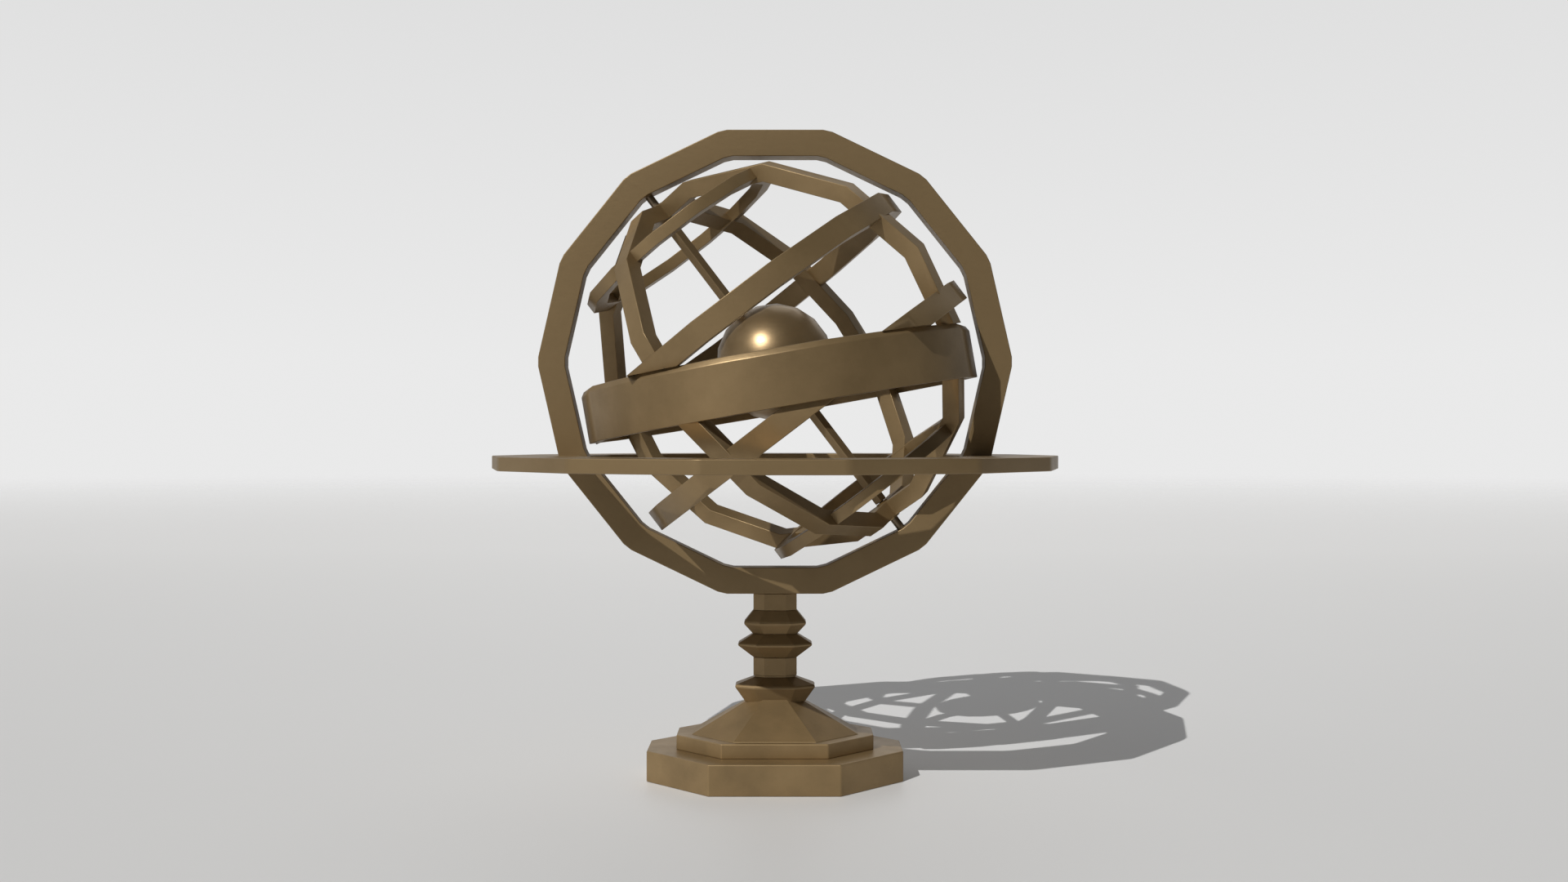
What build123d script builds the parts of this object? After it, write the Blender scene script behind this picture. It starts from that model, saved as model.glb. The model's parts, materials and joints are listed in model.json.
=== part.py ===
from build123d import *
import os
from math import cos, radians, sin

os.makedirs("parts", exist_ok=True)

# Armillary sphere on a turned-look stand.  Millimetres, +Z up, X to the right and Y to the back.
# The origin is the middle of the stand's underside.

# Driving dimensions ---------------------------------------------------------------------------
SIDES = 14                      # every ring is a regular 14-sided band
STEP = 360 / SIDES
CENTRE_HEIGHT = 253.2           # middle of the sphere above the table
POLAR_TILT = 37.3               # lean of the polar axis from the vertical, to the left
ZODIAC_TILT = 9.8               # lean of the zodiac band's axis, to the same side

MERIDIAN_APOTHEM = 141.0        # outside flats of the fixed ring
MERIDIAN_BORE = 125.0           # inside flats
MERIDIAN_DEPTH = 15.0
HORIZON_CORNER = 173.5
HORIZON_BORE = 117.5            # inside flats
HORIZON_THICK = 8.0
HORIZON_DROP = 61.05            # middle of the horizon ring below the middle of the sphere
CORNER_CUT = 3.0                # flat cut on the corners of the two fixed rings

COLURE_CORNER = 121.75
COLURE_THICK = 10.5
COLURE_WIDTH = 11.0
COLURE_TURN = -30.0             # azimuth of the first colure, the second stands square to it
TROPIC_CORNER = 117.5
TROPIC_THICK = 9.0
TROPIC_WIDTH = 13.7
TROPIC_RISE = 33.0
POLAR_CORNER = 70.0
POLAR_THICK = 10.0
POLAR_WIDTH = 7.2
POLAR_RISE = 94.5
ZODIAC_CORNER = 120.5
ZODIAC_THICK = 4.5
ZODIAC_HEIGHT = 32.0
ZODIAC_RISE = -14.0             # middle of the band along its own axis
ZODIAC_BEVEL = (3.2, 2.0)       # height and depth of the slope on the upper outside edge

LAP_POLE = 113.7                # radii of the half-laps where the cage's rings cross
LAP_POLAR = 114.5
LAP_TROPIC = 116.0
DOWEL_RADIUS = 1.1
DOWEL_SPAN = (111.5, 117.6)     # both ends are blind; distances from the middle of the sphere

BALL_RADIUS = 36.0
BALL_WALL = 2.5
ROD_SIDE = 5.6
ROD_SHOULDER = 107.0
JOURNAL_END = 111.5
PIN_RADIUS = 1.5
PIVOT_PLAY = 0.05               # running clearance, on the radius
BUSH_RADIUS = 4.0
BUSH_COLLAR_RADIUS = 4.6
BUSH_SPAN = (107.5, 119.7)
BUSH_COLLAR_FROM = COLURE_CORNER * cos(radians(STEP / 2))
SCREW_RADIUS = 2.5
SCREW_SPAN = (120.0, 142.8)
SCREW_PIN_END = 113.5
SCREW_SLOT = (1.0, 1.2)         # width and depth

STEM_SQUASH = 0.56              # depth of a stem piece over its width
STEM_HALF = 13.2                # half width of the plain stem pieces
STEM_BORE = 3.2
PLINTH = (154.6, 110.5, 38.8, 0.0, 18.5)        # width, depth, corner cut, bottom, top
STEP_TIER = (119.2, 80.2, 28.0, 18.5, 27.35)
SKIRT_FOOT = (101.2, 73.5, 26.0, 27.35)         # width, depth, corner cut, height
SKIRT_TOP = 50.0
WAIST = (18.1, 46.35)           # half width and height where the skirt meets the base knop
BASE_KNOP = [WAIST, (24.85, 56.25), (12.6, 61.2)]
STEM_WASHER = [(12.4, 61.2), (12.4, 62.1)]
LOWER_STEM = [(STEM_HALF, 62.1), (STEM_HALF, 73.25)]
LOWER_KNOP = [(STEM_HALF, 73.25), (23.25, 81.3), (13.45, 87.5)]
UPPER_KNOP = [(13.45, 87.5), (19.4, 94.2), (STEM_HALF, 102.0)]
STEM_CAP_FROM = 102.0

TIE_RADIUS = 3.0
TIE_SPAN = (1.2, 122.0)
RECESS = (13.0, 8.0)            # radius and depth of the pocket under the plinth
TIE_WASHER = (9.0, 6.7)         # radius and underside; its top is the roof of the pocket
TIE_NUT = (10.0, 1.8)           # across flats and underside


def polar_frame():
    """Location of the sphere's own frame: Z along the polar axis, Y to the back."""
    lean = radians(POLAR_TILT)
    plane = Plane(origin=(0, 0, CENTRE_HEIGHT), x_dir=(cos(lean), 0, sin(lean)),
                  z_dir=(-sin(lean), 0, cos(lean)))
    return plane.location


POLAR = polar_frame()
COLURES = ("colure_a", "colure_b")
TROPICS = ("tropic_north", "tropic_south")
POLAR_CIRCLES = ("polar_circle_north", "polar_circle_south")


def outline(corner_radius, first_corner=0.0):
    """Regular polygon about the origin with a corner in the direction first_corner."""
    corners = [Vector(corner_radius, 0).rotate(Axis.Z, first_corner + i * STEP) for i in range(SIDES)]
    return Polygon(*[(c.X, c.Y) for c in corners], align=None)


def to_corner(apothem):
    return apothem / cos(radians(STEP / 2))


def ring(plane, corner_radius, inner_corner, width, first_corner=0.0, cut=0.0):
    """Flat-sided ring, extruded both ways from the plane."""
    outer = outline(corner_radius, first_corner)
    inner = outline(inner_corner, first_corner)
    if cut:
        outer = chamfer(outer.vertices(), cut)
        inner = chamfer(inner.vertices(), cut * inner_corner / corner_radius)
    return extrude(plane * (outer - inner), width / 2, both=True)


def half_lap(outer_piece, inner_piece, radius):
    """Cross two rings: beyond the radius the first one keeps the metal, inside it the second."""
    core = Sphere(radius)
    return outer_piece - (inner_piece & core), inner_piece - (outer_piece - core)


def rod_along_axis(radius, start, end, sign=1):
    """Cylinder on the polar axis between two distances from the middle of the sphere."""
    rod = Pos(0, 0, (start + end) / 2) * Cylinder(radius, end - start)
    return rod if sign > 0 else Rot(180, 0, 0) * rod


def plan(width, depth, cut):
    """Rectangle with its corners cut off, the section of the whole stand."""
    return chamfer(Rectangle(width, depth).vertices(), cut)


def cut_plan(half_width, squash=STEM_SQUASH):
    """Section of a stem piece: a cut rectangle pressed flat from front to back."""
    x, y = half_width, half_width * squash
    corners = [(x, y / 2), (x / 2, y), (-x / 2, y), (-x, y / 2),
               (-x, -y / 2), (-x / 2, -y), (x / 2, -y), (x, -y / 2)]
    return Polygon(*corners, align=None)


def stem_piece(profile):
    """Stack of ruled stretches through (half width, height) pairs, bored for the tie rod."""
    sections = [Pos(0, 0, height) * cut_plan(half) for half, height in profile]
    body = loft(sections[:2], ruled=True)
    for low, high in zip(sections[1:], sections[2:]):
        body += loft([low, high], ruled=True)
    return body - tie_bore()


def tie_bore():
    return Pos(0, 0, CENTRE_HEIGHT / 4) * Cylinder(STEM_BORE, CENTRE_HEIGHT / 2)


# The stand ------------------------------------------------------------------------------------
def base_tier(width, depth, cut, bottom, top):
    slab = extrude(Pos(0, 0, bottom) * plan(width, depth, cut), top - bottom)
    return slab - tie_bore()


def plinth():
    radius, height = RECESS
    return base_tier(*PLINTH) - Pos(0, 0, height / 2) * Cylinder(radius, height)


def base_skirt():
    """Pyramid frustum whose slopes carry on into a socket under the base knop."""
    width, depth, cut, foot = SKIRT_FOOT
    waist_half, waist_height = WAIST
    shrink = (1 - 2 * waist_half / width) * (SKIRT_TOP - foot) / (waist_height - foot)
    scale_top = 1 - shrink
    low = Pos(0, 0, foot) * plan(width, depth, cut)
    high = Pos(0, 0, SKIRT_TOP) * plan(width * scale_top, depth * scale_top, cut * scale_top)
    return loft([low, high], ruled=True) - tie_bore()


def tie_rod():
    low, high = TIE_SPAN
    return Pos(0, 0, (low + high) / 2) * Cylinder(TIE_RADIUS, high - low)


def tie_washer():
    radius, low = TIE_WASHER
    high = RECESS[1]
    return Pos(0, 0, (low + high) / 2) * (Cylinder(radius, high - low) - Cylinder(TIE_RADIUS, high))


def tie_nut():
    across_flats, low = TIE_NUT
    high = TIE_WASHER[1]
    corner = across_flats / 2 / cos(radians(30))
    blank = extrude(Pos(0, 0, low) * RegularPolygon(corner, 6), high - low)
    return blank - Pos(0, 0, low) * Cylinder(TIE_RADIUS, 4 * high)


def stand():
    skirt = base_skirt()
    cap_top = CENTRE_HEIGHT - MERIDIAN_APOTHEM
    return {
        "plinth": plinth(),
        "base_step": base_tier(*STEP_TIER),
        "base_skirt": skirt,
        "base_knop": stem_piece(BASE_KNOP) - skirt,
        "stem_washer": stem_piece(STEM_WASHER),
        "lower_stem": stem_piece(LOWER_STEM),
        "lower_knop": stem_piece(LOWER_KNOP),
        "upper_knop": stem_piece(UPPER_KNOP),
        "stem_cap": stem_piece([(STEM_HALF, STEM_CAP_FROM), (STEM_HALF, cap_top)]),
        "tie_rod": tie_rod(),
        "tie_washer": tie_washer(),
        "tie_nut": tie_nut(),
    }


# The two fixed rings and the pivots they carry ---------------------------------------------------
def pivot_screw(sign):
    """Slotted screw through the meridian ring, with a slim pin that enters the pole bush."""
    start, end = SCREW_SPAN
    slot_width, slot_depth = SCREW_SLOT
    slot = Pos(0, 0, end) * Box(3 * SCREW_RADIUS, slot_width, 2 * slot_depth)
    screw = rod_along_axis(SCREW_RADIUS, start, end) - slot
    screw += rod_along_axis(PIN_RADIUS, SCREW_PIN_END, start)
    return screw if sign > 0 else Rot(180, 0, 0) * screw


def fixed_rings():
    meridian_plane = Plane(origin=(0, 0, CENTRE_HEIGHT), x_dir=(1, 0, 0), z_dir=(0, -1, 0))
    meridian = ring(meridian_plane, to_corner(MERIDIAN_APOTHEM), to_corner(MERIDIAN_BORE),
                    MERIDIAN_DEPTH, cut=CORNER_CUT)
    horizon_plane = Plane.XY.offset(CENTRE_HEIGHT - HORIZON_DROP)
    horizon = ring(horizon_plane, HORIZON_CORNER, to_corner(HORIZON_BORE), HORIZON_THICK, cut=CORNER_CUT)
    horizon -= meridian
    threads = Part() + [POLAR * rod_along_axis(SCREW_RADIUS, MERIDIAN_BORE, MERIDIAN_APOTHEM + 10, sign)
                        for sign in (1, -1)]
    meridian = meridian - threads - tie_rod()
    return {
        "meridian_ring": meridian,
        "horizon_ring": horizon,
        "pivot_screw_north": POLAR * pivot_screw(1),
        "pivot_screw_south": POLAR * pivot_screw(-1),
    }


# The turning cage, drawn in the polar frame -----------------------------------------------------
def colure(turn):
    """Ring through both poles; a flat of it lies across each pole."""
    normal = (sin(radians(turn)), -cos(radians(turn)), 0)
    plane = Plane(origin=(0, 0, 0), x_dir=(0, 0, 1), z_dir=normal)
    return ring(plane, COLURE_CORNER, COLURE_CORNER - COLURE_THICK, COLURE_WIDTH, STEP / 2)


def circle_at(height, corner_radius, thick, width):
    return ring(Plane.XY.offset(height), corner_radius, corner_radius - thick, width)


def zodiac_location():
    lean = radians(POLAR_TILT - ZODIAC_TILT)
    plane = Plane(origin=(0, 0, 0), x_dir=(cos(lean), 0, -sin(lean)), z_dir=(sin(lean), 0, cos(lean)))
    return plane.location * Pos(0, 0, ZODIAC_RISE - ZODIAC_HEIGHT / 2)


def zodiac_band():
    """Tall band with a sloping upper edge, drawn from its lower rim up."""
    slope_height, slope_depth = ZODIAC_BEVEL
    straight = ZODIAC_HEIGHT - slope_height
    top_corner = ZODIAC_CORNER - slope_depth
    body = extrude(outline(ZODIAC_CORNER), straight)
    body += loft([Pos(0, 0, straight) * outline(ZODIAC_CORNER),
                  Pos(0, 0, ZODIAC_HEIGHT) * outline(top_corner)], ruled=True)
    return zodiac_location() * (body - zodiac_core())


def zodiac_core():
    return extrude(outline(ZODIAC_CORNER - ZODIAC_THICK), ZODIAC_HEIGHT)


def zodiac_seat():
    """All the space outside the zodiac's inner face, between its two rims."""
    return zodiac_location() * (extrude(Circle(2 * ZODIAC_CORNER), ZODIAC_HEIGHT) - zodiac_core())


def pole_bush(sign):
    start, end = BUSH_SPAN
    bush = rod_along_axis(BUSH_RADIUS, start, end)
    bush += rod_along_axis(BUSH_COLLAR_RADIUS, BUSH_COLLAR_FROM, end)
    bush -= rod_along_axis(PIN_RADIUS + PIVOT_PLAY, start - 1, end + 1)
    return bush if sign > 0 else Rot(180, 0, 0) * bush


def whole_rings():
    """The cage's rings before they are let into each other."""
    return {
        "colure_a": colure(COLURE_TURN),
        "colure_b": colure(COLURE_TURN + 90),
        "polar_circle_north": circle_at(POLAR_RISE, POLAR_CORNER, POLAR_THICK, POLAR_WIDTH),
        "polar_circle_south": circle_at(-POLAR_RISE, POLAR_CORNER, POLAR_THICK, POLAR_WIDTH),
        "tropic_north": circle_at(TROPIC_RISE, TROPIC_CORNER, TROPIC_THICK, TROPIC_WIDTH),
        "tropic_south": circle_at(-TROPIC_RISE, TROPIC_CORNER, TROPIC_THICK, TROPIC_WIDTH),
        "zodiac_band": zodiac_band(),
    }


def let_in(rings):
    """The same rings with half-laps at the crossings, a seat for the zodiac and the bush holes."""
    cut = dict(rings)
    cut["colure_a"], cut["colure_b"] = half_lap(cut["colure_a"], cut["colure_b"], LAP_POLE)
    for crossed in COLURES:
        for circle in TROPICS:
            cut[circle], cut[crossed] = half_lap(cut[circle], cut[crossed], LAP_TROPIC)
        for circle in POLAR_CIRCLES:
            cut[crossed], cut[circle] = half_lap(cut[crossed], cut[circle], LAP_POLAR)
    seat = zodiac_seat()
    for name in COLURES + TROPICS:
        cut[name] -= seat
    for name in COLURES:
        for sign in (1, -1):
            cut[name] -= rod_along_axis(BUSH_RADIUS, BUSH_SPAN[0] - 1, BUSH_SPAN[1], sign)
        cut[name] = max(cut[name].solids(), key=lambda solid: solid.volume)     # drops a loose chip
    return cut


def dowels(rings, cut, circles):
    """Blind dowels across the lap of every crossing that the zodiac's seat leaves whole."""
    pins = []
    for circle in circles:
        for crossed in COLURES:
            for lump in (rings[circle] & rings[crossed]).solids():
                line = Plane(origin=(0, 0, 0), z_dir=lump.center()).location
                pin = line * rod_along_axis(DOWEL_RADIUS, *DOWEL_SPAN)
                held = sum((pin & cut[name]).volume for name in (circle, crossed))
                if held > 0.999 * pin.volume:
                    pins.append(pin)
    return Part() + pins


def cage():
    rings = whole_rings()
    pieces = let_in(rings)
    groups = {"polar_dowels": POLAR_CIRCLES, "tropic_dowels": TROPICS, "zodiac_dowels": ("zodiac_band",)}
    fixings = {name: dowels(rings, pieces, circles) for name, circles in groups.items()}
    for name, circles in groups.items():
        for ring_name in COLURES + circles:
            pieces[ring_name] -= fixings[name]
    bushes = {"pole_bush_north": pole_bush(1), "pole_bush_south": pole_bush(-1)}
    return {name: POLAR * piece for name, piece in {**pieces, **fixings, **bushes}.items()}


# The globe on its rod -----------------------------------------------------------------------------
def globe():
    """Square rod with round journals, and a hollow spun ball soldered where the rod passes through."""
    shaft = extrude(Rot(0, 0, 45) * Rectangle(ROD_SIDE, ROD_SIDE), ROD_SHOULDER, both=True)
    journals = Cylinder(PIN_RADIUS, 2 * JOURNAL_END)
    shell = Sphere(BALL_RADIUS) - Sphere(BALL_RADIUS - BALL_WALL)
    return {
        "axis_rod": POLAR * (shaft + journals),
        "globe_ball": POLAR * (shell - shaft),
    }


for node, shape in {**stand(), **fixed_rings(), **cage(), **globe()}.items():
    export_step(shape, f"parts/{node}.step")
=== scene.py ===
import json
import math
import bmesh
import bpy
from mathutils import Matrix, Vector


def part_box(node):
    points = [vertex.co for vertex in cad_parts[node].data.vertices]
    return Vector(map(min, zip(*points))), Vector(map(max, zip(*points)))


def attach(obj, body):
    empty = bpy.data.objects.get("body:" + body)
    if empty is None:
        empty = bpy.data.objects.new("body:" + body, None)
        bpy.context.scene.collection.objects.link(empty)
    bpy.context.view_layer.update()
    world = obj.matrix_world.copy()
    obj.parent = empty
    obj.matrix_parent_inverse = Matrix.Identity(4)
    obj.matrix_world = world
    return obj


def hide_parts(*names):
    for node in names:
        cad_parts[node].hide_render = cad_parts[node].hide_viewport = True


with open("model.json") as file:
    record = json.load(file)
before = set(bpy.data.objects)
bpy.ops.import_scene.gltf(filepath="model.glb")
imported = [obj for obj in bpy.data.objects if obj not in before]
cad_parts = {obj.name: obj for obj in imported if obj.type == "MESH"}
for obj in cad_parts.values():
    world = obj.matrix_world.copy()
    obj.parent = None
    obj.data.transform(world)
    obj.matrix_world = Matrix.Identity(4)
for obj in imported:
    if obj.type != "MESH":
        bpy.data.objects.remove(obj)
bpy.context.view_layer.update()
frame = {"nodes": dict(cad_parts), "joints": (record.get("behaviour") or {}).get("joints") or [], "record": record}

MM = 0.001
SIDES = 14                      # every ring is a 14-sided band
STEP = 2 * math.pi / SIDES
FLAT_TO_CORNER = 1 / math.cos(STEP / 2)


# Places read from the frame -----------------------------------------------------------------
def axes_matrix(x_axis, y_axis, z_axis, origin):
    """Matrix whose columns are the three axes, placed at the origin."""
    matrix = Matrix((x_axis, y_axis, z_axis)).transposed().to_4x4()
    matrix.translation = origin
    return matrix


SPIN = next(joint for joint in frame["joints"] if joint["name"] == "cage_spin")
CENTRE = Vector(SPIN["pos_m"])
AXIS = Vector(SPIN["axis"]).normalized()
BACK = Vector((0, 1, 0))
SIDE = BACK.cross(AXIS)
POLAR = axes_matrix(SIDE, BACK, AXIS, CENTRE)


def half_size(node):
    low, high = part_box(node)
    return (high - low) / 2


# Ring sizes, in millimetres -----------------------------------------------------------------
COLURE = {"corner": 121.75, "thick": 10.5, "width": 11.0, "bevel": 0.35}
TROPIC = {"corner": 117.5, "thick": 9.0, "width": 13.7, "bevel": 0.35}
POLAR_CIRCLE = {"corner": 70.0, "thick": 10.0, "width": 7.2, "bevel": 0.3}
COLURE_TURN = math.radians(-30)
COLURE_INSET = 0.25             # the second colure's outside sits this far inside the first's
TROPIC_RISE = 33.0
POLAR_RISE = 94.5
ZODIAC_CORNER = 120.5
ZODIAC_THICK = 4.5
ZODIAC_LOW = -30.0              # heights of the rims along the band's own axis
ZODIAC_HIGH = 2.0
ZODIAC_SLOPE = (3.2, 2.0)       # height and depth of the slope on the upper outside edge
ZODIAC_BEVEL = 0.45
ZODIAC = POLAR @ Matrix.Rotation(math.radians(27.5), 4, "Y")
EMBED = 0.1                     # how far cut ring ends sink into the zodiac band
MERIDIAN_BORE = 125.0           # bores of the two fixed rings, from the middle to the flats
HORIZON_BORE = 117.5
FIXED_BEVEL = 0.5
FIXED_CORNER_CUT = 3.0


# Mesh helpers -------------------------------------------------------------------------------
def new_object(name, bm, matrix=None, scale=MM):
    """Object at the origin holding the mesh, scaled to metres and moved by the matrix."""
    if scale != 1:
        bmesh.ops.scale(bm, vec=(scale, scale, scale), verts=bm.verts)
    if matrix is not None:
        bmesh.ops.transform(bm, matrix=matrix, verts=bm.verts)
    bmesh.ops.recalc_face_normals(bm, faces=bm.faces)
    mesh = bpy.data.meshes.new(name)
    bm.to_mesh(mesh)
    bm.free()
    piece = bpy.data.objects.new(name, mesh)
    bpy.context.scene.collection.objects.link(piece)
    return piece


def shade_soft(piece):
    """Smooth shading whose normals follow the large faces, so bevels catch the light."""
    piece.data.shade_smooth()
    weights = piece.modifiers.new("weights", "WEIGHTED_NORMAL")
    weights.mode = "FACE_AREA"
    weights.weight = 70


def polygon(corner, first=0.0, cut=0.0):
    """Corners of the 14-sided outline; with a cut, each corner becomes two points."""
    points = [Vector((corner * math.cos(first + i * STEP), corner * math.sin(first + i * STEP), 0))
              for i in range(SIDES)]
    if not cut:
        return points
    doubled = []
    for i, point in enumerate(points):
        for other in (points[i - 1], points[(i + 1) % SIDES]):
            doubled.append(point + (other - point).normalized() * cut)
    return doubled


def lifted(points, height):
    return [Vector((point.x, point.y, height)) for point in points]


def join_rows(bm, rows):
    """Quads between each row of vertices and the one that follows it."""
    count = len(rows[0])
    for row, following in zip(rows, rows[1:]):
        for i in range(count):
            k = (i + 1) % count
            bm.faces.new((row[i], row[k], following[k], following[i]))


def bevel_edges(bm, edges, width):
    bmesh.ops.bevel(bm, geom=edges, offset=width, offset_type="OFFSET", segments=2,
                    profile=0.5, affect="EDGES", clamp_overlap=True)


def bevel_sharp(bm, width, angle=math.radians(35)):
    """Rounds every edge that turns by more than the angle."""
    bmesh.ops.recalc_face_normals(bm, faces=bm.faces)
    sharp = [edge for edge in bm.edges if edge.is_manifold and edge.calc_face_angle(0) > angle]
    bevel_edges(bm, sharp, width)


def tube_from_loops(loops):
    """Closed band through a cycle of loops that all have the same number of points."""
    bm = bmesh.new()
    rows = [[bm.verts.new(point) for point in loop] for loop in loops]
    join_rows(bm, rows + rows[:1])
    return bm


def stack_mesh(sections, bevel, rim_bevel=0.0):
    """Solid through stacked outlines; edges of a flared rim can take a wider bevel."""
    bm = bmesh.new()
    rows = [[bm.verts.new(point) for point in section] for section in sections]
    join_rows(bm, rows)
    bm.faces.new(rows[0][::-1])
    bm.faces.new(rows[-1])
    if rim_bevel:
        rims = [edge for row in rows[1:-1] for i, vert in enumerate(row)
                for edge in vert.link_edges if edge.other_vert(vert) is row[(i + 1) % len(row)]]
        bevel_edges(bm, rims, rim_bevel)
    bevel_sharp(bm, bevel, math.radians(30))
    return bm


def ring_mesh(corner, thick, width, bevel, cut=0.0, first=0.0, rise=0.0):
    outer = polygon(corner, first, cut)
    inner = polygon(corner - thick, first, cut)
    low, high = rise - width / 2, rise + width / 2
    bm = tube_from_loops([lifted(outer, low), lifted(outer, high),
                          lifted(inner, high), lifted(inner, low)])
    bevel_sharp(bm, bevel)
    return bm


def carve(piece, cutter):
    """Cuts the cutter's space out of the piece and keeps the result as its mesh."""
    cut = piece.modifiers.new("cut", "BOOLEAN")
    cut.operation = "DIFFERENCE"
    cut.solver = "EXACT"
    cut.object = cutter
    evaluated = piece.evaluated_get(bpy.context.evaluated_depsgraph_get())
    mesh = bpy.data.meshes.new_from_object(evaluated)
    piece.modifiers.clear()
    piece.data = mesh


# Materials ----------------------------------------------------------------------------------
class Nodes:
    """Short way to add and link shader nodes in one material or world."""

    def __init__(self, owner):
        owner.use_nodes = True
        self.tree = owner.node_tree
        self.tree.nodes.clear()

    def add(self, kind, **settings):
        node = self.tree.nodes.new(kind)
        for name, value in settings.items():
            setattr(node, name, value)
        return node

    def link(self, source, target):
        self.tree.links.new(source, target)

    def value(self, socket, value):
        """Links the socket when given another socket, else stores the constant on it."""
        if isinstance(value, bpy.types.NodeSocket):
            self.link(value, socket)
        else:
            socket.default_value = value

    def noise(self, vector, scale, detail, roughness=0.55):
        node = self.add("ShaderNodeTexNoise")
        self.link(vector, node.inputs["Vector"])
        node.inputs["Scale"].default_value = scale
        node.inputs["Detail"].default_value = detail
        node.inputs["Roughness"].default_value = roughness
        return node.outputs["Fac"]

    def spread(self, value, low, high, to_low=0.0, to_high=1.0, **settings):
        """Maps the value from one range to another, clamped at both ends."""
        node = self.add("ShaderNodeMapRange", **settings)
        node.inputs["From Min"].default_value = low
        node.inputs["From Max"].default_value = high
        node.inputs["To Min"].default_value = to_low
        node.inputs["To Max"].default_value = to_high
        self.link(value, node.inputs["Value"])
        return node.outputs["Result"]

    def math(self, operation, first, second=0.0):
        node = self.add("ShaderNodeMath", operation=operation)
        self.value(node.inputs[0], first)
        self.value(node.inputs[1], second)
        return node.outputs["Value"]

    def mix(self, factor, first, second):
        node = self.add("ShaderNodeMix", data_type="RGBA")
        self.value(node.inputs[0], factor)
        self.value(node.inputs[6], first)
        self.value(node.inputs[7], second)
        return node.outputs[2]

    def mix_shaders(self, factor, first, second):
        node = self.add("ShaderNodeMixShader")
        self.link(factor, node.inputs[0])
        self.link(first, node.inputs[1])
        self.link(second, node.inputs[2])
        return node.outputs["Shader"]


CLOUD_SCALE = 28
SPECK_SCALE = 420
STREAK_SCALE = 160
STREAK_STRETCH = (1, 1, 9)
WORN_EDGE = 0.0006              # metres
GRAIN_STRENGTH = 0.10
GRAIN_DEPTH = 0.0004            # metres
WEAR = 0.35                     # share of the bright tone on the most rubbed edges


def edge_mask(nodes, radius):
    """1 along convex and concave edges, 0 on flats, from a rounded-normal comparison."""
    bevel = nodes.add("ShaderNodeBevel", samples=6)
    bevel.inputs["Radius"].default_value = radius
    geometry = nodes.add("ShaderNodeNewGeometry")
    dot = nodes.add("ShaderNodeVectorMath", operation="DOT_PRODUCT")
    nodes.link(bevel.outputs["Normal"], dot.inputs[0])
    nodes.link(geometry.outputs["Normal"], dot.inputs[1])
    return nodes.spread(dot.outputs["Value"], 0.995, 0.90)


def metal(name, base, dark, bright, roughness, polish=0.55, grain=1.0):
    """Aged metal: cloudy tone, darker specks, rubbed edges, uneven gloss and a fine cast grain."""
    material = bpy.data.materials.new(name)
    nodes = Nodes(material)
    coordinates = nodes.add("ShaderNodeTexCoord").outputs["Object"]
    cloud = nodes.noise(coordinates, CLOUD_SCALE, 5)
    speck = nodes.noise(coordinates, SPECK_SCALE, 3, 0.6)
    stretched = nodes.add("ShaderNodeMapping")
    stretched.inputs["Scale"].default_value = STREAK_STRETCH
    nodes.link(coordinates, stretched.inputs["Vector"])
    streak = nodes.noise(stretched.outputs["Vector"], STREAK_SCALE, 3)

    tone = nodes.mix(nodes.spread(cloud, 0.35, 0.68), dark, base)
    tone = nodes.mix(nodes.spread(speck, 0.60, 0.78, 0.0, 0.35), tone, dark)
    patches = nodes.spread(cloud, 0.3, 0.7, 0.4 * WEAR, WEAR)
    rubbed = nodes.math("MULTIPLY", edge_mask(nodes, WORN_EDGE), patches)
    tone = nodes.mix(rubbed, tone, bright)

    gloss = nodes.spread(cloud, 0.3, 0.7, roughness + 0.05, roughness - 0.03)
    gloss = nodes.math("ADD", gloss, nodes.spread(streak, 0.3, 0.7, -0.02, 0.03))

    bump = nodes.add("ShaderNodeBump")
    bump.inputs["Strength"].default_value = GRAIN_STRENGTH * grain
    bump.inputs["Distance"].default_value = GRAIN_DEPTH
    height = nodes.math("ADD", speck, nodes.math("MULTIPLY", streak, 0.5))
    nodes.link(height, bump.inputs["Height"])

    shader = nodes.add("ShaderNodeBsdfPrincipled")
    shader.inputs["Metallic"].default_value = polish
    nodes.link(tone, shader.inputs["Base Color"])
    nodes.link(gloss, shader.inputs["Roughness"])
    nodes.link(bump.outputs["Normal"], shader.inputs["Normal"])
    output = nodes.add("ShaderNodeOutputMaterial")
    nodes.link(shader.outputs["BSDF"], output.inputs["Surface"])
    return material


PATINA = (0.216, 0.147, 0.069, 1)
RUBBED = (0.46, 0.35, 0.20, 1)
STAND_TONES = ((0.302, 0.206, 0.098, 1), PATINA, RUBBED)
FIXED_RING_TONES = ((0.246, 0.170, 0.082, 1), PATINA, RUBBED)
CAGE_TONES = ((0.285, 0.196, 0.095, 1), PATINA, RUBBED)
GLOBE_TONES = ((0.300, 0.210, 0.110, 1), (0.255, 0.177, 0.090, 1), RUBBED)
BRASS_TONES = ((0.40, 0.28, 0.13, 1), (0.30, 0.20, 0.09, 1), (0.60, 0.46, 0.26, 1))
STEEL_TONES = ((0.24, 0.19, 0.13, 1), (0.16, 0.12, 0.08, 1), (0.46, 0.40, 0.31, 1))
MATERIALS = {
    "stand_bronze": metal("stand_bronze", *STAND_TONES, 0.41),
    "fixed_ring_bronze": metal("fixed_ring_bronze", *FIXED_RING_TONES, 0.41),
    "cage_bronze": metal("cage_bronze", *CAGE_TONES, 0.40),
    "globe_bronze": metal("globe_bronze", *GLOBE_TONES, 0.33, polish=0.7, grain=0.5),
    "fitting_brass": metal("fitting_brass", *BRASS_TONES, 0.32, polish=0.85, grain=0.6),
    "fastener_steel": metal("fastener_steel", *STEEL_TONES, 0.36, polish=0.8, grain=0.6),
}


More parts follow.
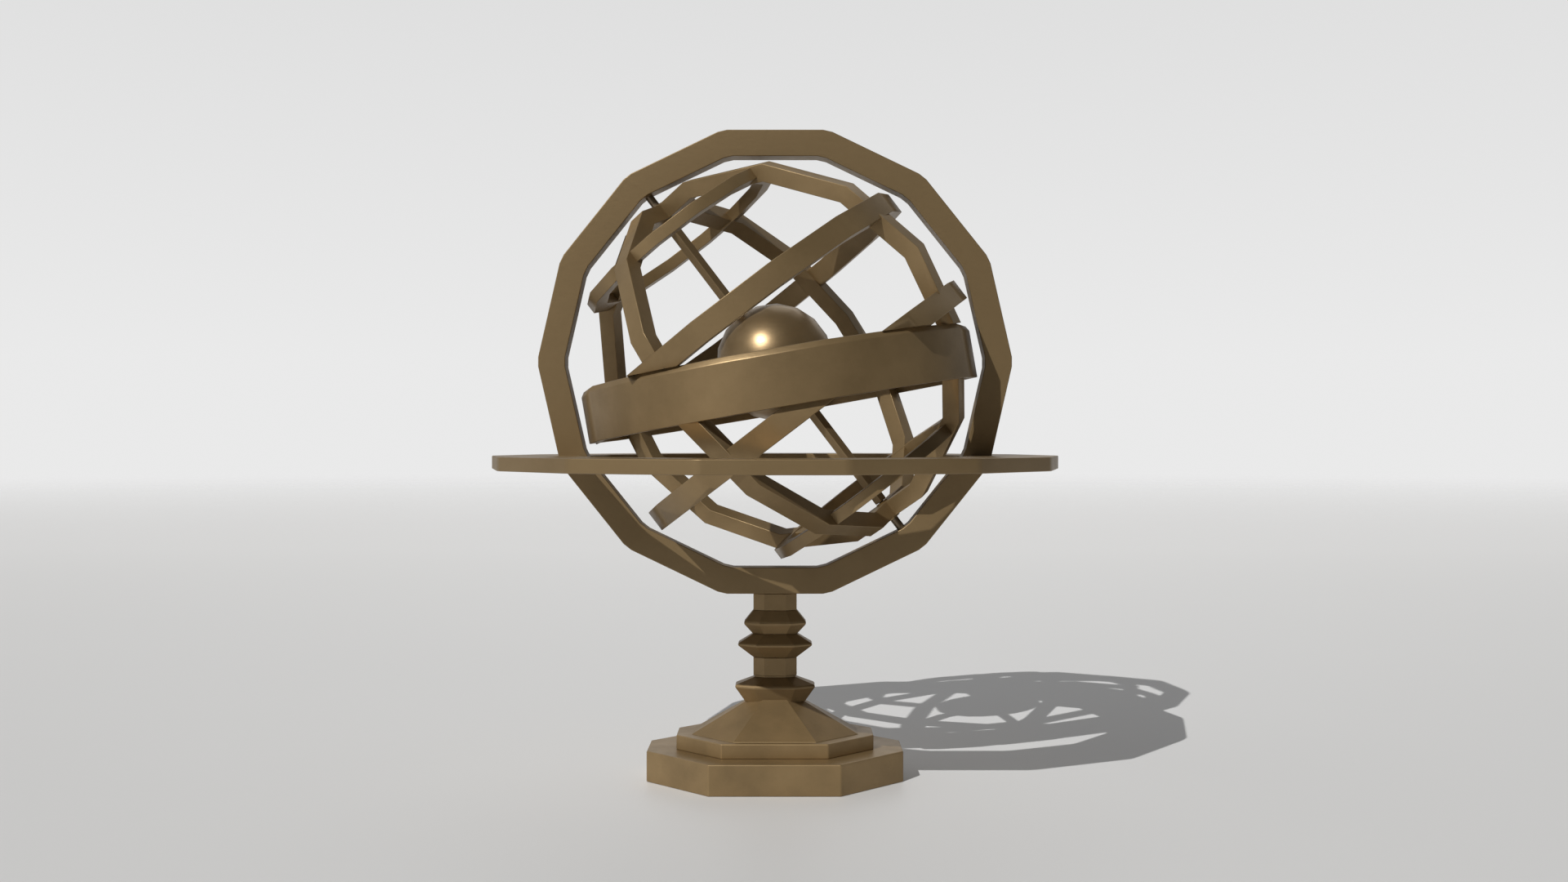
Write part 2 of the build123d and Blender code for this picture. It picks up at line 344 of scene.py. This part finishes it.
def place(piece, body, slot, *replaced):
    """Gives a finished piece its material, its body and the CAD nodes that it stands for."""
    piece.data.materials.clear()
    piece.data.materials.append(MATERIALS[slot])
    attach(piece, body)
    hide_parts(*replaced)


# Stand --------------------------------------------------------------------------------------
PLINTH_CUT = 38.8               # corner cuts of the plinth, the second tier and the skirt
STEP_CUT = 28.0
SKIRT_CUT = 26.0
PLINTH_BEVEL = 0.7
STEP_BEVEL = 0.6
SKIRT_BEVEL = 0.7
POCKET_RADIUS = 13              # nut pocket in the underside
POCKET_DEPTH = 8
STEM_SQUASH = 0.56              # depth of a stem piece over its width
STEM_PROFILES = {               # half width and height of each section
    "base_knop": [(18.1, 46.35), (24.85, 56.25), (12.6, 61.2)],
    "stem_washer": [(12.4, 61.2), (12.4, 62.1)],
    "lower_stem": [(13.2, 62.1), (13.2, 73.25)],
    "lower_knop": [(13.2, 73.25), (23.25, 81.3), (13.45, 87.5)],
    "upper_knop": [(13.45, 87.5), (19.4, 94.2), (13.2, 102.0)],
    "stem_cap": [(13.2, 102.0), (13.2, 112.2)],
}
STEM_BEVEL = 0.45
WASHER_BEVEL = 0.15
RIM_BEVEL = 1.3


def cut_rectangle(half_width, half_depth, cut_x, cut_y):
    """Eight corners of a rectangle with its corners cut off."""
    return [Vector((x, y, 0)) for x, y in (
        (half_width, -half_depth + cut_y), (half_width, half_depth - cut_y),
        (half_width - cut_x, half_depth), (-half_width + cut_x, half_depth),
        (-half_width, half_depth - cut_y), (-half_width, -half_depth + cut_y),
        (-half_width + cut_x, -half_depth), (half_width - cut_x, -half_depth))]


def tier(name, node, corner_cut, bevel):
    """Flat slab of the base, sized by its CAD node's box."""
    low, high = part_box(node)
    half = half_size(node) / MM
    outline = cut_rectangle(half.x, half.y, corner_cut, corner_cut)
    sections = [lifted(outline, level / MM) for level in (low.z, high.z)]
    return new_object(name, stack_mesh(sections, bevel))


def pressed(half_width, height):
    """Stem section at a height: a cut rectangle, shallower from front to back."""
    depth = half_width * STEM_SQUASH
    return lifted(cut_rectangle(half_width, depth, half_width / 2, depth / 2), height)


def build_stand():
    plinth = tier("plinth_block", "plinth", PLINTH_CUT, PLINTH_BEVEL)
    pocket = bmesh.new()
    bmesh.ops.create_cone(pocket, cap_ends=True, segments=64, radius1=POCKET_RADIUS,
                          radius2=POCKET_RADIUS, depth=2 * POCKET_DEPTH)
    cutter = new_object("pocket_cutter", pocket)
    carve(plinth, cutter)
    bpy.data.objects.remove(cutter)
    place(plinth, "root", "stand_bronze", "plinth")
    step = tier("base_tier", "base_step", STEP_CUT, STEP_BEVEL)
    place(step, "root", "stand_bronze", "base_step")

    # The skirt is the bottom of a pyramid whose waist meets the base knop.
    low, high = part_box("base_skirt")
    half = half_size("base_skirt") / MM
    waist_half, waist_height = STEM_PROFILES["base_knop"][0]
    shrink = (1 - waist_half / half.x) * (high.z - low.z) / (waist_height * MM - low.z)
    foot = cut_rectangle(half.x, half.y, SKIRT_CUT, SKIRT_CUT)
    top = [point * (1 - shrink) for point in foot]
    skirt = stack_mesh([lifted(foot, low.z / MM), lifted(top, high.z / MM)], SKIRT_BEVEL)
    place(new_object("base_pyramid", skirt), "root", "stand_bronze", "base_skirt")

    for node, profile in STEM_PROFILES.items():
        sections = [pressed(half_width, height) for half_width, height in profile]
        rim = RIM_BEVEL if len(profile) > 2 else 0.0
        bevel = WASHER_BEVEL if node == "stem_washer" else STEM_BEVEL
        piece = new_object(node + "_turned", stack_mesh(sections, bevel, rim))
        place(piece, "root", "stand_bronze", node)


# Rings --------------------------------------------------------------------------------------
def zodiac_mesh():
    slope_height, slope_depth = ZODIAC_SLOPE
    outer = polygon(ZODIAC_CORNER)
    top = polygon(ZODIAC_CORNER - slope_depth)
    inner = polygon(ZODIAC_CORNER - ZODIAC_THICK)
    bm = tube_from_loops([lifted(outer, ZODIAC_LOW), lifted(outer, ZODIAC_HIGH - slope_height),
                          lifted(top, ZODIAC_HIGH), lifted(inner, ZODIAC_HIGH),
                          lifted(inner, ZODIAC_LOW)])
    bevel_sharp(bm, ZODIAC_BEVEL, math.radians(28))
    return bm


def zodiac_cutter():
    """Everything outside the zodiac's inner face between its rims, less a small embedding."""
    low = ZODIAC_LOW + EMBED
    high = ZODIAC_HIGH - EMBED
    inner = polygon(ZODIAC_CORNER - ZODIAC_THICK + EMBED)
    outer = polygon(2 * ZODIAC_CORNER)
    bm = tube_from_loops([lifted(outer, low), lifted(outer, high),
                          lifted(inner, high), lifted(inner, low)])
    return new_object("zodiac_cutter", bm, ZODIAC)


def build_cage():
    rings = []
    pole = Vector((0, 0, 1))
    for i, node in enumerate(("colure_a", "colure_b")):
        turn = COLURE_TURN + i * math.pi / 2
        normal = Vector((math.sin(turn), -math.cos(turn), 0))
        upright = axes_matrix(pole, normal.cross(pole), normal, Vector((0, 0, 0)))
        sizes = dict(COLURE, corner=COLURE["corner"] - i * COLURE_INSET)
        mesh = ring_mesh(first=STEP / 2, **sizes)
        rings.append((node, "meridian_hoop_" + node[-1], mesh, POLAR @ upright))
    for end, sign in (("north", 1), ("south", -1)):
        tropic = ring_mesh(rise=sign * TROPIC_RISE, **TROPIC)
        polar = ring_mesh(rise=sign * POLAR_RISE, **POLAR_CIRCLE)
        rings.append((f"tropic_{end}", f"tropic_hoop_{end}", tropic, POLAR))
        rings.append((f"polar_circle_{end}", f"polar_hoop_{end}", polar, POLAR))
    cutter = zodiac_cutter()
    for node, name, mesh, matrix in rings:
        piece = new_object(name, mesh, matrix)
        if not node.startswith("polar"):
            carve(piece, cutter)
        shade_soft(piece)
        place(piece, "cage", "cage_bronze", node)
    bpy.data.objects.remove(cutter)
    zodiac = new_object("zodiac_hoop", zodiac_mesh(), ZODIAC)
    shade_soft(zodiac)
    place(zodiac, "cage", "cage_bronze", "zodiac_band")


def fixed_ring(name, node, flat, bore, width, matrix):
    """Fixed ring, with its outside and its bore given from the middle to the flats."""
    corner = flat * FLAT_TO_CORNER
    thick = corner - bore * FLAT_TO_CORNER
    ring = new_object(name, ring_mesh(corner, thick, width, FIXED_BEVEL, FIXED_CORNER_CUT), matrix)
    shade_soft(ring)
    place(ring, "root", "fixed_ring_bronze", node)


def build_fixed_rings():
    half = half_size("meridian_ring") / MM
    upright = axes_matrix(Vector((1, 0, 0)), Vector((0, 0, 1)), Vector((0, -1, 0)), CENTRE)
    fixed_ring("meridian_hoop", "meridian_ring", half.z, MERIDIAN_BORE, 2 * half.y, upright)

    low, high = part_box("horizon_ring")
    half = half_size("horizon_ring") / MM
    level = Matrix.Translation((0, 0, (low.z + high.z) / 2))
    fixed_ring("horizon_hoop", "horizon_ring", half.y, HORIZON_BORE, 2 * half.z, level)


# Globe --------------------------------------------------------------------------------------
BALL_SEGMENTS = 18
BALL_RINGS = 9
ROD_SIDE = 5.6
ROD_SHOULDER = 107.0
ROD_BEVEL = 0.4
JOURNAL_RADIUS = 1.5
JOURNAL_END = 111.5


def build_globe():
    ball = bmesh.new()
    radius = half_size("globe_ball").z / MM
    bmesh.ops.create_uvsphere(ball, u_segments=BALL_SEGMENTS, v_segments=BALL_RINGS, radius=radius)
    globe = new_object("globe_faceted", ball, POLAR)
    globe.data.shade_smooth()
    place(globe, "globe", "globe_bronze", "globe_ball")

    half = ROD_SIDE / math.sqrt(2)
    square = [Vector(corner) for corner in ((half, 0, 0), (0, half, 0), (-half, 0, 0), (0, -half, 0))]
    rod = bmesh.new()
    rows = [[rod.verts.new(point) for point in lifted(square, level)]
            for level in (-ROD_SHOULDER, ROD_SHOULDER)]
    join_rows(rod, rows)
    rod.faces.new(rows[0][::-1])
    rod.faces.new(rows[1])
    bevel_sharp(rod, ROD_BEVEL)
    for sign in (1, -1):
        end = Matrix.Translation((0, 0, sign * (ROD_SHOULDER + JOURNAL_END) / 2))
        bmesh.ops.create_cone(rod, cap_ends=True, segments=24, radius1=JOURNAL_RADIUS,
                              radius2=JOURNAL_RADIUS, depth=JOURNAL_END - ROD_SHOULDER, matrix=end)
    shaft = new_object("axis_shaft", rod, POLAR)
    shade_soft(shaft)
    place(shaft, "globe", "globe_bronze", "axis_rod")


def finish_cad_nodes():
    """Gives every CAD node its detailed material; those that nothing replaces keep their shape."""
    slots = {entry["node"]: entry["material_slot"] for entry in frame["record"]["subparts"]}
    for node, piece in frame["nodes"].items():
        piece.data.materials.clear()
        piece.data.materials.append(MATERIALS[slots[node]])


# Studio, in metres --------------------------------------------------------------------------
FLOOR_HALF = 14
FLOOR_ROUGHNESS = 0.5
FLOOR_NEAR = (0.685, 0.700)     # grey levels that the floor's cloudy tone runs between
FLOOR_FAR_PAINTED_LIGHT = 0.830               # painted lighter grey of the floor further back, standing in for brighter light there
FLOOR_PAINTED_LIGHT_RAMP = (-0.35, 1.9)       # distances behind the object where the painted lighter tone starts and is full
FLOOR_FADE = (1.5, 8.5)         # distances where the floor starts to fade and is gone

# Soft light panels of the room: direction, cosines where a panel is full and where it ends, strength
PANELS = (
    ((0.0, 0.78, 0.62), 0.95, 0.86, 0.46),      # high behind the object
    ((0.0, 1.0, 0.05), 0.80, 0.50, 0.36),       # pale wall behind
    ((0.0, -0.85, 0.53), 0.94, 0.80, 0.06),     # fill above the camera
    ((-1.0, 0.0, 0.25), 0.80, 0.60, 0.34),      # fill from the left
    ((0.9, 0.35, 0.30), 0.85, 0.60, 0.12),      # fill from the right
)
ROOM_DIM = 0.04
BACKDROP_PAINTED_SHADE_RISE = (0.05, 0.42)    # sine of the elevation where the backdrop's painted shade starts and stops darkening it
BACKDROP_PAINTED_SHADE_LEVELS = (0.82, 0.69)

SUN_STRENGTH = 3.0
SUN_ANGLE = math.radians(0.4)
SUN_COLOUR = (1.0, 0.99, 0.97)
TOWARDS_SUN = (-0.42, -0.635, 0.648)

LENS = 35
SENSOR = 36
CLIP = (0.01, 100)
CAMERA_PLACE = (0.00545, -0.9335, CENTRE.z - 0.04635)
CAMERA_PITCH = math.radians(90 - 0.11)


def grey(level):
    return (level, level, level, 1)


def build_floor():
    """Pale satin floor, painted lighter further back in place of brighter light there, that melts into the
    backdrop a few metres away.
    """
    bm = bmesh.new()
    bmesh.ops.create_grid(bm, x_segments=8, y_segments=8, size=FLOOR_HALF)
    floor = new_object("studio_floor", bm, scale=1)
    material = bpy.data.materials.new("studio_floor")
    nodes = Nodes(material)
    coordinates = nodes.add("ShaderNodeTexCoord").outputs["Object"]
    split = nodes.add("ShaderNodeSeparateXYZ")
    nodes.link(coordinates, split.inputs[0])
    near = nodes.mix(nodes.noise(coordinates, 3, 2), grey(FLOOR_NEAR[0]), grey(FLOOR_NEAR[1]))
    # painted light: the floor's grey rises to a lighter tone further back
    tone = nodes.mix(nodes.spread(split.outputs["Y"], *FLOOR_PAINTED_LIGHT_RAMP), near, grey(FLOOR_FAR_PAINTED_LIGHT))
    satin = nodes.add("ShaderNodeBsdfPrincipled")
    satin.inputs["Roughness"].default_value = FLOOR_ROUGHNESS
    nodes.link(tone, satin.inputs["Base Color"])

    clear = nodes.add("ShaderNodeBsdfTransparent")
    distance = nodes.add("ShaderNodeVectorMath", operation="LENGTH")
    nodes.link(coordinates, distance.inputs[0])
    fade = nodes.spread(distance.outputs["Value"], *FLOOR_FADE, interpolation_type="SMOOTHSTEP")
    surface = nodes.mix_shaders(fade, satin.outputs["BSDF"], clear.outputs["BSDF"])
    nodes.link(surface, nodes.add("ShaderNodeOutputMaterial").inputs["Surface"])
    floor.data.materials.append(material)


def build_world():
    """Pale backdrop for the camera, with painted shade darker higher up, and for the light a dim room with a few
    soft panels.
    """
    world = bpy.data.worlds.new("studio")
    bpy.context.scene.world = world
    nodes = Nodes(world)
    direction = nodes.add("ShaderNodeTexCoord").outputs["Generated"]
    split = nodes.add("ShaderNodeSeparateXYZ")
    nodes.link(direction, split.inputs[0])
    elevation = nodes.math("ABSOLUTE", split.outputs["Z"])
    # painted shade: the backdrop seen by the camera gets darker higher up
    backdrop_with_painted_shade = nodes.spread(elevation, *BACKDROP_PAINTED_SHADE_RISE, *BACKDROP_PAINTED_SHADE_LEVELS)

    room = ROOM_DIM
    for towards, full, end, strength in PANELS:
        dot = nodes.add("ShaderNodeVectorMath", operation="DOT_PRODUCT")
        nodes.link(direction, dot.inputs[0])
        dot.inputs[1].default_value = Vector(towards).normalized()
        glow = nodes.spread(dot.outputs["Value"], end, full, 0.0, strength)
        room = nodes.math("ADD", glow, room)

    backgrounds = []
    for level in (room, backdrop_with_painted_shade):
        background = nodes.add("ShaderNodeBackground")
        background.inputs["Color"].default_value = (1, 1, 1, 1)
        nodes.link(level, background.inputs["Strength"])
        backgrounds.append(background.outputs["Background"])
    camera_ray = nodes.add("ShaderNodeLightPath").outputs["Is Camera Ray"]
    surface = nodes.mix_shaders(camera_ray, *backgrounds)
    nodes.link(surface, nodes.add("ShaderNodeOutputWorld").inputs["Surface"])


def build_lights():
    key = bpy.data.lights.new("key", "SUN")
    key.energy = SUN_STRENGTH
    key.angle = SUN_ANGLE
    key.color = SUN_COLOUR
    lamp = bpy.data.objects.new("key", key)
    lamp.rotation_euler = Vector(TOWARDS_SUN).to_track_quat("Z", "Y").to_euler()
    bpy.context.scene.collection.objects.link(lamp)


def build_camera():
    camera = bpy.data.cameras.new("camera")
    camera.lens = LENS
    camera.sensor_width = SENSOR
    camera.clip_start, camera.clip_end = CLIP
    holder = bpy.data.objects.new("camera", camera)
    holder.location = CAMERA_PLACE
    holder.rotation_euler = (CAMERA_PITCH, 0, 0)
    bpy.context.scene.collection.objects.link(holder)
    bpy.context.scene.camera = holder


finish_cad_nodes()
build_stand()
build_fixed_rings()
build_cage()
build_globe()
build_floor()
build_world()
build_lights()
build_camera()
bpy.context.scene.view_settings.view_transform = "Standard"
